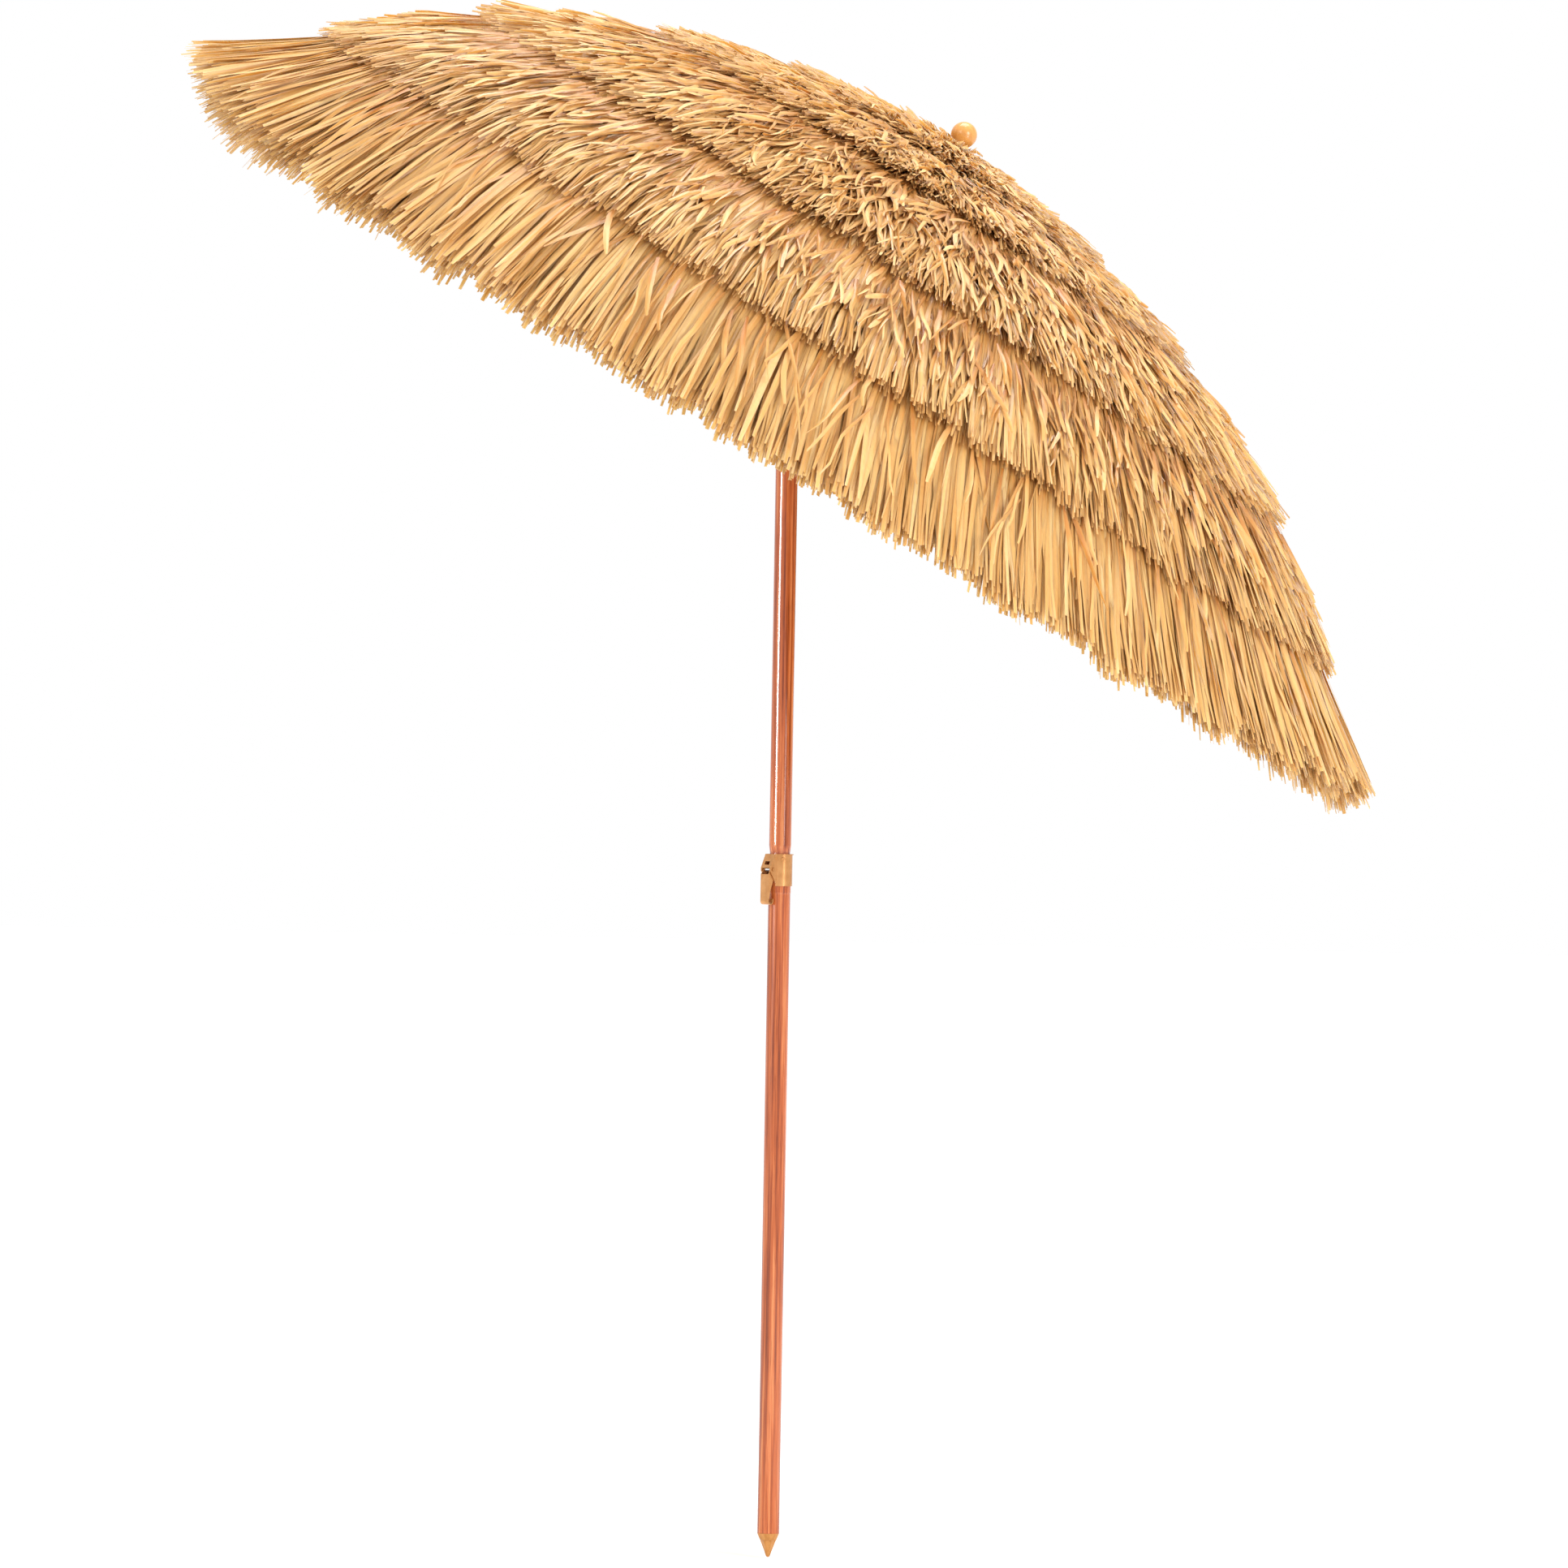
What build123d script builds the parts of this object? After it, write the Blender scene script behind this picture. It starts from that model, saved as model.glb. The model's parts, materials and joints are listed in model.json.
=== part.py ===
"""Thatched beach umbrella: a two-piece wood-look pole, a locking clamp, a tilt knuckle and a folding frame.

All lengths are in millimetres and all angles in degrees. The origin is the centre of the lower pole's
bottom end, +Z runs up the pole, and the open canopy leans toward +X.
"""

from build123d import *
from math import acos, asin, atan2, cos, degrees, radians, sin, sqrt
import os

# --- Driving dimensions ---------------------------------------------------------------------------

# Poles: two tubes of one size, the upper one drawn down to a spigot that plugs into the lower one
pole_od = 32.0
pole_wall = 1.0
lower_pole_length = 980.0
upper_pole_reach = 636.0  # from the lower pole's top to the tilt pivot
bell_length = 58.0  # top of the lower pole, opened out so that the spigot starts easily
bell_rise = 0.4
spigot_length = 140.0
spigot_gap = 0.25
plug_gap = 0.05  # moulded plugs pushed into tube ends

# Ground spike
spike_length = 35.0
spike_tip_r = 3.2
spike_plug = 34.0
spike_facet_count = 6

# Locking clamp at the pole joint
clamp_azimuth = 225.0  # the lever's side, counter-clockwise from +X
clamp_height = 46.0
clamp_gap = 0.3
clamp_sheet = 1.5
clamp_half_width = 10.5
hood_out = (2.2, 10.6)  # out from the belled top, at the hood's top and bottom
hood_drop = 20.0
lever_pivot_out = 4.1  # out from the belled top
lever_pivot_drop = 22.0
lever_pin_r = 1.6
lever_half_width = 8.4
lever_sheet = 1.2
lever_face_out = 12.2
lever_drop = 76.0
running_gap = 0.05
tooth_size = (5.0, 4.6)  # width and height of the lever's locking tooth
rivet_r = 1.5
rivet_azimuth = 64.0  # either side of the lever
rivet_drop = 7.0

# Tilt knuckle
tilt_angle = 31.5
knuckle_height = 42.0
knuckle_round = 13.0
knuckle_clear = 16.0
tongue_half = 6.7
cheek_inner = 7.0
cheek_inset = 2.0  # fork cheeks stand in from the pole's side
tilt_pin_r = 4.0
button_r = 6.0
button_out = 2.5
button_bore = 12.0

# Mast, crown and folding frame, measured along the mast from the tilt pivot
mast_od = 25.4
mast_wall = 1.0
crown_height = 428.0
hinge_ring_out = 8.3  # the ribs' hinge ring, out from the mast
ring_wire_r = 1.25
rib_count = 8
rib_reach = 790.0
rib_end_height = 128.0
rib_rise = 74.0  # how far the rib bows above its chord
rib_size = (3.2, 6.0)
rib_fold_angle = 3.0  # the rib's chord off the mast when folded
strut_on_rib = 175.0
strut_length = 205.0
eye_r = 3.6
eye_gap = 0.35
slot_gap = 0.4
runner_drop = 30.0
catch_out = 3.0

# Canopy
lining_sheet = 1.0
lining_gap = 0.5
canopy_hole_gap = 7.0  # between the crown hub and the cloth's central hole
seam_angle = 0.1
thatch_sheet = 4.0
step_run = 7.0
step_drop = 16.0
thatch_overhang = 215.0  # how far the lowest tier's tips reach past the ribs
tier_shares = (0.26, 0.436, 0.662, 0.831, 1.0)  # of the thatch's reach, where each tier ends
tier_rises = (39.5, 30.5, 31.0, 40.0, 67.0)  # height of each tier's tips over the line of the ribs
crown_rises = (22.0, 32.0, 34.5)  # height of the first tier over the crown, from its hole outward
crown_radii = (100.0, 115.0)
tuft_gap = 1.5
tuft_radii = (60.0, 95.0)
tuft_rises = (42.0, 42.0, 39.0)

# Finial
ball_r = 19.0
ball_rise = 34.0  # the ball's centre over the crown hub
finial_neck_r = 6.0

# --- Sizes that follow from them ------------------------------------------------------------------

pole_r = pole_od / 2
pole_bore = pole_r - pole_wall
bell_r = pole_r + bell_rise
bell_bore = bell_r - pole_wall
spigot_r = pole_bore - spigot_gap
pivot_z = lower_pole_length + upper_pole_reach
upper_pole_top = pivot_z - knuckle_height
hood_reach = [bell_r + out for out in hood_out]
lever_pivot = (bell_r + lever_pivot_out, -lever_pivot_drop)
lever_face = bell_r + lever_face_out
cheek_outer = pole_r - cheek_inset
mast_r = mast_od / 2
mast_bore = mast_r - mast_wall
pivot_ring_r = mast_r + hinge_ring_out
hub_r = pivot_ring_r + 6.0
canopy_start_r = hub_r + canopy_hole_gap
rib_half, rib_up = rib_size[0] / 2, rib_size[1] / 2
half_sector = 180 / rib_count - seam_angle

# The rib's arc runs from its pivot eye to its tip, in a plane through the mast
chord_x, chord_z = rib_reach - pivot_ring_r, rib_end_height - crown_height
chord = sqrt(chord_x**2 + chord_z**2)
arc_r = (chord**2 / 4 + rib_rise**2) / (2 * rib_rise)
arc_x = (pivot_ring_r + rib_reach) / 2 + chord_z / chord * (arc_r - rib_rise)
arc_z = (crown_height + rib_end_height) / 2 - chord_x / chord * (arc_r - rib_rise)
arc_start = atan2(crown_height - arc_z, pivot_ring_r - arc_x)
rib_length = arc_r * (arc_start - atan2(rib_end_height - arc_z, rib_reach - arc_x))


def on_arc(along, off=0.0):
    """The point that far along the rib's arc from its eye, and that far outward from it."""
    a = arc_start - along / arc_r
    return arc_x + (arc_r + off) * cos(a), arc_z + (arc_r + off) * sin(a)


def along_at(radius, off=0.0):
    """The length along the rib's arc at which the line offset outward from it reaches a radius."""
    return (arc_start - acos((radius - arc_x) / (arc_r + off))) * arc_r


def bowl_height(radius):
    """Height of the ribs' line at a radius. Past a rib's end it goes straight on."""
    inside = min(radius, rib_reach)
    height = arc_z + sqrt(arc_r**2 - (inside - arc_x) ** 2)
    return height - (radius - inside) * (rib_reach - arc_x) / (rib_end_height - arc_z)


# The strut and the rib's inner end make a triangle with the mast, and its angles give the runner's travel
strut_x, strut_z = on_arc(2 * arc_r * asin(strut_on_rib / (2 * arc_r)))
rib_angle = degrees(atan2(strut_x - pivot_ring_r, crown_height - strut_z))
strut_angle = degrees(asin(strut_on_rib * sin(radians(rib_angle)) / strut_length))
runner_height = strut_z - strut_length * cos(radians(strut_angle))
fold_travel = degrees(atan2(chord_x, -chord_z)) - rib_fold_angle
folded_rib_angle = rib_angle - fold_travel
folded_strut_angle = degrees(asin(strut_on_rib * sin(radians(folded_rib_angle)) / strut_length))
folded_runner_height = (
    crown_height
    - strut_on_rib * cos(radians(folded_rib_angle))
    - strut_length * cos(radians(folded_strut_angle))
)

# --- Helpers --------------------------------------------------------------------------------------

BASE = (Align.CENTER, Align.CENTER, Align.MIN)


def rod(radius, z0, z1):
    """Upright cylinder."""
    return Pos(0, 0, z0) * Cylinder(radius, z1 - z0, align=BASE)


def cross_rod(radius, y0, y1, x=0.0, z=0.0):
    """Cylinder along Y."""
    return Pos(x, y0, z) * Rot(-90, 0, 0) * Cylinder(radius, y1 - y0, align=BASE)


def radial_rod(radius, x0, x1, z=0.0):
    """Cylinder along X."""
    return Pos(x0, 0, z) * Rot(0, 90, 0) * Cylinder(radius, x1 - x0, align=BASE)


def block(x0, x1, y0, y1, z0, z1):
    """Box between two corners."""
    return Pos((x0 + x1) / 2, (y0 + y1) / 2, (z0 + z1) / 2) * Box(x1 - x0, y1 - y0, z1 - z0)


def plate(points, y0, y1):
    """Flat plate with an outline given in X and Z."""
    outline = Polyline(*[(x, y0, z) for x, z in points], close=True)
    return extrude(make_face(outline), amount=y1 - y0, dir=(0, 1, 0))


def turned(points, arc=360.0):
    """Solid turned about Z from an outline given in radius and height, centred on +X."""
    outline = make_face(Polyline(*[(r, 0, z) for r, z in points], close=True))
    return Rot(0, 0, -arc / 2) * revolve(outline, Axis.Z, revolution_arc=arc)


def arc_band(s0, s1, low, high, y=0.0):
    """Face in the rib's plane between two lengths along its arc and two offsets from it."""

    def at(s, off):
        x, z = on_arc(s, off)
        return (x, y, z)

    mid = (s0 + s1) / 2
    outline = [
        ThreePointArc(at(s0, high), at(mid, high), at(s1, high)),
        Line(at(s1, high), at(s1, low)),
        ThreePointArc(at(s1, low), at(mid, low), at(s0, low)),
        Line(at(s0, low), at(s0, high)),
    ]
    return make_face(outline)


def along_rib(s0, s1, low, high, half):
    """Bar that follows the rib's arc between two lengths and two offsets."""
    return extrude(arc_band(s0, s1, low, high, -half), amount=2 * half, dir=(0, 1, 0))


def coil(radius, wire, length, turns):
    """Round-wire coil along Z, starting at the origin's height."""
    path = Helix(pitch=(length - 2 * wire) / turns, height=length - 2 * wire, radius=radius)
    path = Pos(0, 0, wire) * path
    start = path @ 0
    section = Plane(origin=start, z_dir=path % 0) * Circle(wire)
    return sweep(section, path=path, is_frenet=True)


def at_clamp(shape):
    """Turns a shape built toward +X to the clamp's side, with its zero height at the lower pole's top."""
    return Pos(0, 0, lower_pole_length) * Rot(0, 0, clamp_azimuth) * shape


def at_knuckle(shape):
    """Lifts a shape built about the tilt pivot to its place on the upper pole."""
    return Pos(0, 0, pivot_z) * shape


def leaned(shape):
    """Leans a shape built along the mast, and sets it on the tilt pivot."""
    return Pos(0, 0, pivot_z) * Rot(0, tilt_angle, 0) * shape


def rib_azimuth(i):
    """Ribs stand either side of the plane in which the canopy leans, so that the pole folds between two."""
    return (i + 0.5) * 360 / rib_count


parts = {}

# --- Lower pole and spike -------------------------------------------------------------------------

bell_start = lower_pole_length - bell_length
lower_pole = turned(
    [
        (pole_bore, 0),
        (pole_r, 0),
        (pole_r, bell_start),
        (bell_r, bell_start + 3),
        (bell_r, lower_pole_length),
        (bell_bore, lower_pole_length),
        (bell_bore, bell_start + 3),
        (pole_bore, bell_start),
    ]
)
tooth_z = lever_pivot[1] - 10.5
tooth_window = block(
    bell_bore - 3,
    bell_r + 3,
    -tooth_size[0] / 2 - 1,
    tooth_size[0] / 2 + 1,
    tooth_z - tooth_size[1] / 2 - 4,
    tooth_z + tooth_size[1] / 2 + 1,
)
lower_pole -= at_clamp(tooth_window)
for side in (-1, 1):
    rivet_hole = radial_rod(rivet_r, pole_bore - 1, pole_r + 2, -rivet_drop)
    lower_pole -= at_clamp(Rot(0, 0, side * rivet_azimuth) * rivet_hole)
parts["lower_pole"] = lower_pole


def spike_radius(z):
    """Radius of the spike's cone at a height below the pole's end."""
    return pole_r + (pole_r - spike_tip_r) * z / (spike_length - spike_tip_r)


facet_high, facet_low = -spike_length * 0.27, -spike_length * 0.78
plug_r = pole_bore - plug_gap
spike = turned(
    [
        (0, spike_plug),
        (plug_r, spike_plug),
        (plug_r, -0.1),
        (pole_r, -0.1),
        (spike_radius(facet_high), facet_high),
        (0, facet_high),
    ]
)
spike += loft(
    [
        Pos(0, 0, z) * RegularPolygon(spike_radius(z) * 0.97, spike_facet_count)
        for z in (facet_high + 0.2, facet_low - 0.2)
    ]
)
ball_z = spike_tip_r - spike_length
round_tip = [
    (spike_tip_r * cos(radians(a)), 0, ball_z - spike_tip_r * sin(radians(a))) for a in (20, 55, 90)
]
tip_outline = [
    Line((0, 0, facet_low), (spike_radius(facet_low), 0, facet_low)),
    Line((spike_radius(facet_low), 0, facet_low), round_tip[0]),
    ThreePointArc(*round_tip),
    Line(round_tip[2], (0, 0, facet_low)),
]
spike += revolve(make_face(tip_outline), Axis.Z)
parts["ground_spike"] = spike

# --- Locking clamp --------------------------------------------------------------------------------

collar_in = bell_r + clamp_gap
collar_out = collar_in + clamp_sheet
collar = rod(collar_out, -clamp_height, 0) - rod(collar_in, -clamp_height - 1, 1)
collar += rod(collar_out + 1.6, -1.2, 0) - rod(collar_in, -2, 1)
mouth = clamp_half_width - clamp_sheet
collar -= block(0, 40, -mouth, mouth, -clamp_height - 1, 1)
cheek_root = sqrt(collar_out**2 - clamp_half_width**2)
cheek_outline = [
    (cheek_root - 1.2, 0),
    (hood_reach[0], 0),
    (hood_reach[1], -hood_drop),
    (hood_reach[1], -hood_drop - 4),
    (cheek_root - 1.2, -clamp_height),
]
bracket = collar
for side in (-1, 1):
    y = sorted((side * mouth, side * clamp_half_width))
    bracket += plate(cheek_outline, y[0], y[1])
hood = plate(
    [
        (hood_reach[0] - clamp_sheet, 0),
        (hood_reach[0], 0),
        (hood_reach[1], -hood_drop),
        (hood_reach[1] - clamp_sheet, -hood_drop),
    ],
    -clamp_half_width,
    clamp_half_width,
)
window = block(hood_reach[0] - 4, hood_reach[1] + 4, -5, 5, -hood_drop + 4.5, -hood_drop + 9.5)
bracket += hood - window
bracket -= rod(collar_in, -clamp_height - 1, 1)
bracket -= cross_rod(lever_pin_r, -20, 20, *lever_pivot)
for side in (-1, 1):
    rivet_hole = radial_rod(rivet_r, collar_in - 1, collar_out + 2, -rivet_drop)
    bracket -= Rot(0, 0, side * rivet_azimuth) * rivet_hole
parts["clamp_bracket"] = at_clamp(bracket)

rivets = []
for side in (-1, 1):
    shank = radial_rod(rivet_r - 0.02, bell_bore, collar_out + 0.5, -rivet_drop)
    head = radial_rod(rivet_r * 1.9, collar_out + 0.05, collar_out + 1.1, -rivet_drop)
    head = fillet(head.faces().sort_by(Axis.X)[-1].edges(), 0.8)
    rivets.append(at_clamp(Rot(0, 0, side * rivet_azimuth) * (shank + head)))
parts["clamp_rivets"] = Compound(children=rivets)

pin = cross_rod(lever_pin_r - 0.02, -clamp_half_width - 1.2, clamp_half_width + 1.2, *lever_pivot)
for side in (-1, 1):
    y = sorted((side * (clamp_half_width + 0.05), side * (clamp_half_width + 1.3)))
    pin += cross_rod(lever_pin_r * 1.8, y[0], y[1], *lever_pivot)
parts["clamp_pin"] = at_clamp(pin)

px, pz = lever_pivot
lever_in = lever_face - lever_sheet
side_outline = [
    (px - 2.8, pz + 1.5),
    (px + 2.6, pz + 2.6),
    (lever_face - 1.2, -hood_drop - 7.5),
    (lever_face, -hood_drop - 9),
    (lever_face, -lever_drop + 12),
    (lever_face - 2.6, -lever_drop + 12),
    (lever_face - 4.4, -lever_drop + 24),
    (px - 2.4, pz - 12.5),
    (px - 3.2, pz - 9.0),
]
lever = Part()
for side in (-1, 1):
    y = sorted((side * (lever_half_width - lever_sheet), side * lever_half_width))
    cheek = plate(side_outline, y[0], y[1]) + cross_rod(eye_r, y[0], y[1], px, pz)
    lever += cheek
lever += block(lever_in, lever_face, -lever_half_width, lever_half_width, -lever_drop + 8, -hood_drop - 9)
hook_r = 5.0
hook_at = Pos(lever_face - hook_r, 0, -lever_drop + 8)
hook = cross_rod(hook_r, -lever_half_width, lever_half_width) - cross_rod(
    hook_r - lever_sheet, -lever_half_width - 1, lever_half_width + 1
)
hook &= block(-10, 10, -20, 20, -10, 0)
lever += hook_at * hook
lever += hook_at * block(-hook_r, -hook_r + lever_sheet, -lever_half_width, lever_half_width, -0.1, 3.5)
web_x = px - 3.2
tooth_low, tooth_high = tooth_z - tooth_size[1] / 2, tooth_z + tooth_size[1] / 2
lever += block(web_x, web_x + lever_sheet, -lever_half_width, lever_half_width, tooth_low, tooth_high)
lever += block(bell_bore + 0.1, web_x + 0.2, -tooth_size[0] / 2, tooth_size[0] / 2, tooth_low, tooth_high)
lever -= cross_rod(lever_pin_r + running_gap, -20, 20, px, pz)
lever -= rod(bell_r + 0.35, -lever_drop - 10, 1) - block(
    0, 40, -tooth_size[0] / 2, tooth_size[0] / 2, tooth_low, tooth_high
)
parts["clamp_lever"] = at_clamp(lever)

spring = Rot(-90, 0, 0) * coil(lever_pin_r + 1.0, 0.45, 11.0, 8)
parts["clamp_spring"] = at_clamp(Pos(px, -5.5, pz) * spring)

# --- Upper pole -----------------------------------------------------------------------------------

neck_low, neck_high = lower_pole_length + 2.0, lower_pole_length + 12.0
upper_pole = turned(
    [
        (spigot_r - pole_wall, lower_pole_length - spigot_length),
        (spigot_r, lower_pole_length - spigot_length),
        (spigot_r, neck_low),
        (pole_r, neck_high),
        (pole_r, upper_pole_top),
        (pole_bore, upper_pole_top),
        (pole_bore, neck_high),
        (spigot_r - pole_wall, neck_low),
    ]
)
tooth_hole = block(0, 30, -tooth_size[0] / 2 - 1, tooth_size[0] / 2 + 1, tooth_low - 1, tooth_high + 1)
upper_pole -= at_clamp(tooth_hole)
parts["upper_pole"] = upper_pole

# --- Tilt knuckle, built about its pivot ----------------------------------------------------------

fork = rod(pole_r, -knuckle_height + 0.1, -knuckle_clear)
fork += rod(pole_bore - plug_gap, -knuckle_height - 40, -knuckle_height + 0.2)
cheeks = block(-knuckle_round, knuckle_round, -cheek_outer, cheek_outer, -knuckle_clear - 0.5, 0)
cheeks += cross_rod(knuckle_round, -cheek_outer, cheek_outer)
cheeks &= rod(pole_r, -knuckle_clear - 1, knuckle_round + 1)
cheeks -= block(-20, 20, -cheek_inner, cheek_inner, -knuckle_clear, knuckle_round + 2)
fork += cheeks
fork -= cross_rod(tilt_pin_r, -20, 20)
button_z = -(knuckle_height + knuckle_clear) / 2
fork -= radial_rod(button_r + 0.2, -pole_r - 2, -pole_r + button_bore, button_z)
parts["tilt_fork"] = at_knuckle(fork)

tilt_pin = cross_rod(tilt_pin_r - 0.02, -cheek_outer - 1, cheek_outer + 1)
for side in (-1, 1):
    y = sorted((side * (cheek_outer + 0.1), side * (cheek_outer + 2.6)))
    tilt_pin += chamfer(cross_rod(tilt_pin_r + 2.2, y[0], y[1]).edges(), 0.6)
parts["tilt_pin"] = at_knuckle(tilt_pin)

button_back = -pole_r + 3.6
button = radial_rod(button_r, -pole_r - button_out, button_back, button_z)
button = fillet(button.faces().sort_by(Axis.X)[0].edges(), 1.4)
parts["tilt_button"] = at_knuckle(button)
spring_length = -pole_r + button_bore - button_back - 0.4
spring = Pos(button_back + 0.2, 0, button_z) * Rot(0, 90, 0) * coil(3.8, 0.5, spring_length, 4)
parts["tilt_button_spring"] = at_knuckle(spring)

tongue_base = knuckle_clear + 5.0
tongue = block(-knuckle_round, knuckle_round, -tongue_half, tongue_half, 0, knuckle_clear + 0.5)
tongue += cross_rod(knuckle_round, -tongue_half, tongue_half)
tongue &= rod(pole_r, -knuckle_round - 1, knuckle_clear + 1)
tongue += turned(
    [
        (0, knuckle_clear),
        (pole_r, knuckle_clear),
        (pole_r, tongue_base),
        (mast_r, tongue_base + 4),
        (mast_bore - plug_gap, tongue_base + 4),
        (mast_bore - plug_gap, tongue_base + 38),
        (0, tongue_base + 38),
    ]
)
tongue -= cross_rod(tilt_pin_r + running_gap, -20, 20)
parts["tilt_tongue"] = leaned(tongue)

# --- Mast, crown hub and ring ---------------------------------------------------------------------

mast_low = tongue_base + 4.1
hub_low, hub_top, slot_top = crown_height - 9, crown_height + 11, crown_height + 6.2
mast = rod(mast_r, mast_low, crown_height + 5) - rod(mast_bore, mast_low - 1, crown_height + 6)
catch_z = runner_height - runner_drop - 12.0
mast -= block(0, 20, -2.7, 2.7, catch_z - 11.5, catch_z + 11.5)
parts["mast_tube"] = leaned(mast)

slot_half = rib_half + slot_gap
slot_floor = pivot_ring_r - eye_r - 0.6
hub = rod(hub_r, hub_low, hub_top) - rod(mast_r + plug_gap, hub_low - 1, crown_height + 5.1)
for i in range(rib_count):
    slot = block(slot_floor, hub_r + 2, -slot_half, slot_half, hub_low - 1, slot_top)
    hub -= Rot(0, 0, rib_azimuth(i)) * slot
ring_at = Pos(0, 0, crown_height)
hub -= ring_at * Torus(pivot_ring_r, ring_wire_r + 0.05)
hub -= rod(3.05, hub_top - 5.5, hub_top + 1)
hub = chamfer(hub.faces().sort_by(Axis.Z)[-1].outer_wire().edges(), 1.5)
parts["crown_hub"] = leaned(hub)
parts["crown_ring_wire"] = leaned(ring_at * Torus(pivot_ring_r, ring_wire_r))

# --- Runner and its catch -------------------------------------------------------------------------

runner_core = slot_floor + 0.4
runner_bore = mast_r + 0.4
runner = rod(runner_core, runner_height - runner_drop, runner_height + 9)
runner += rod(hub_r, runner_height - 7, runner_height + 7)
grip = rod(runner_core + 2.2, runner_height - runner_drop, runner_height - runner_drop + 7)
runner += chamfer(grip.edges(), 0.8)
for i in range(rib_count):
    slot = block(runner_core, hub_r + 2, -slot_half, slot_half, runner_height - 8, runner_height + 8)
    runner -= Rot(0, 0, rib_azimuth(i)) * slot
runner -= rod(runner_bore, runner_height - runner_drop - 1, runner_height + 10)
keyway_r = mast_r + catch_out + 0.4
runner -= block(0, keyway_r, -3.0, 3.0, runner_height - runner_drop - 1, runner_height + 10)
parts["runner"] = leaned(runner)

catch_face = mast_r + catch_out
plate_x = mast_bore - 0.8
catch = plate(
    [
        (plate_x - 1, catch_z - 10.4),
        (mast_r + 0.2, catch_z - 10.4),
        (catch_face, catch_z + 9),
        (catch_face, catch_z + 10.4),
        (plate_x - 1, catch_z + 10.4),
    ],
    -2.2,
    2.2,
)
catch += block(plate_x - 2.0, plate_x, -3.4, 3.4, catch_z - 16, catch_z + 16)
parts["runner_catch"] = leaned(catch)

# --- Finial and the tuft around it ----------------------------------------------------------------

ball_height = hub_top + ball_rise
finial = Pos(0, 0, ball_height) * Sphere(ball_r)
finial += rod(finial_neck_r, hub_top + 0.1, ball_height - ball_r + 3)
finial += rod(12.0, hub_top + 0.1, hub_top + 3.0)
finial += rod(3.0, hub_top - 5.3, hub_top + 1)
parts["finial"] = leaned(finial)


def thatch_outline(line):
    """Closed outline of a thatch layer that hangs below a line of radii and heights."""
    return line + [(r, z - thatch_sheet) for r, z in reversed(line)]


tuft_line = [(r, crown_height + rise) for r, rise in zip((ball_r + tuft_gap, *tuft_radii), tuft_rises)]
parts["thatch_top_cap"] = leaned(turned(thatch_outline(tuft_line)))

# --- One rib, strut and canopy sector, repeated round the mast ------------------------------------

eye_x, eye_z = pivot_ring_r, crown_height
rib = along_rib(0, rib_length, -rib_up, rib_up, rib_half)
rib += cross_rod(eye_r, -rib_half, rib_half, eye_x, eye_z)
rib -= cross_rod(ring_wire_r + eye_gap, -rib_half - 1, rib_half + 1, eye_x, eye_z)
strut_pin_r = 1.5
rib -= cross_rod(strut_pin_r + running_gap, -rib_half - 1, rib_half + 1, strut_x, strut_z)

cap_from, cap_to = rib_length - 16, rib_length + 6
tip = along_rib(cap_from, cap_to, -rib_up - 1.6, rib_up + 1.6, rib_half + 1.6)
tip += Pos(on_arc(cap_to)[0], 0, on_arc(cap_to)[1]) * Sphere(rib_up + 2.0)
tip -= along_rib(cap_from - 1, rib_length + 0.1, -rib_up - plug_gap, rib_up + plug_gap, rib_half + plug_gap)

# The strut is built lying along +X from its pin, then turned to hang from the rib
fork_out, bar_up = 17.0, 3.5
cheek_in = rib_half + 0.3
cheek_out = cheek_in + 1.4
bar = block(fork_out + 4, strut_length, -rib_half, rib_half, -bar_up, bar_up)
bar += cross_rod(eye_r - 0.4, -rib_half, rib_half, strut_length, 0)
bar += block(fork_out, fork_out + 5, -cheek_out, cheek_out, -bar_up, bar_up)
for side in (-1, 1):
    y = sorted((side * cheek_in, side * cheek_out))
    bar += block(0, fork_out + 1, y[0], y[1], -bar_up, bar_up)
    bar += cross_rod(bar_up, y[0], y[1])
    head = sorted((side * (cheek_out - 0.1), side * (cheek_out + 0.9)))
    bar += cross_rod(strut_pin_r + 1.0, head[0], head[1])
bar += cross_rod(strut_pin_r, -cheek_out, cheek_out)
bar -= block(strut_length, strut_length + 6, -5, 5, eye_r - 0.4, 9)
bar -= block(strut_length, strut_length + 6, -5, 5, -9, -(eye_r - 0.4))
bar -= cross_rod(ring_wire_r + eye_gap, -5, 5, strut_length, 0)
to_runner = degrees(atan2(strut_z - runner_height, pivot_ring_r - strut_x))
strut = Pos(strut_x, 0, strut_z) * Rot(0, to_runner, 0) * bar

lining_low = rib_up + lining_gap
lining_face = arc_band(
    along_at(canopy_start_r), cap_from - 3, lining_low, lining_low + lining_sheet
)
lining = Rot(0, 0, -half_sector) * revolve(lining_face, Axis.Z, revolution_arc=2 * half_sector)

tier_line = [(r, crown_height + rise) for r, rise in zip((canopy_start_r, *crown_radii), crown_rises)]
for share, rise in zip(tier_shares, tier_rises):
    r = share * (rib_reach + thatch_overhang)
    z = bowl_height(r) + rise
    tier_line += [(r, z), (r + step_run, z - step_drop)]
tier_line = tier_line[:-1]
thatch = turned(thatch_outline(tier_line), 2 * half_sector)

for i in range(rib_count):
    turn = Rot(0, 0, rib_azimuth(i))
    n = i + 1
    parts[f"rib_{n}"] = leaned(turn * rib)
    parts[f"rib_tip_{n}"] = leaned(turn * tip)
    parts[f"strut_{n}"] = leaned(turn * strut)
    parts[f"canopy_lining_{n}"] = leaned(turn * lining)
    parts[f"thatch_skirt_{n}"] = leaned(turn * thatch)

# --- Files ----------------------------------------------------------------------------------------

os.makedirs("parts", exist_ok=True)
for name, shape in parts.items():
    export_step(shape, f"parts/{name}.step")
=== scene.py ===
import json
import math

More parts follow.
